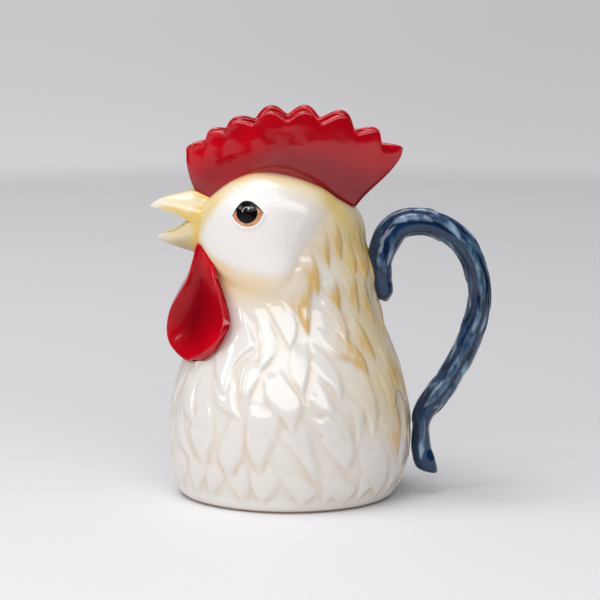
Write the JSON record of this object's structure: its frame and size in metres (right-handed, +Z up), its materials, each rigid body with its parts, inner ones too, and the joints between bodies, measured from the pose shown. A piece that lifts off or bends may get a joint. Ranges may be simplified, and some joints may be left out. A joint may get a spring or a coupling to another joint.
{
  "type": "rooster pitcher",
  "caption": "Rooster-shaped glazed earthenware pitcher: hollow body, open comb for filling, open beak for pouring, looped tail handle.",
  "frame": {"origin": "centre of the foot on the surface that the pitcher stands on", "axes": "+Z up, -X towards the beak, +X towards the handle, Y across the body; the plane y = 0 is the plane of symmetry"},
  "size_m": [0.2085, 0.134, 0.2392],
  "materials": {
    "white_glaze": "glossy white glaze with ochre brushing on raised feathers",
    "red_glaze": "deep glossy red glaze",
    "yellow_glaze": "glossy yellow glaze, deeper at the mouth's corner",
    "blue_glaze": "glossy cobalt glaze that pools darker in the hollows",
    "eye_glaze": "glossy black pupil on an orange-brown iris"
  },
  "bodies": {
    "root": {"body": "white_glaze", "comb": "red_glaze", "upper_beak": "yellow_glaze", "lower_beak": "yellow_glaze", "left_wattle": "red_glaze", "right_wattle": "red_glaze", "left_eye": "eye_glaze", "right_eye": "eye_glaze", "handle": "blue_glaze"}
  },
  "joints": []
}
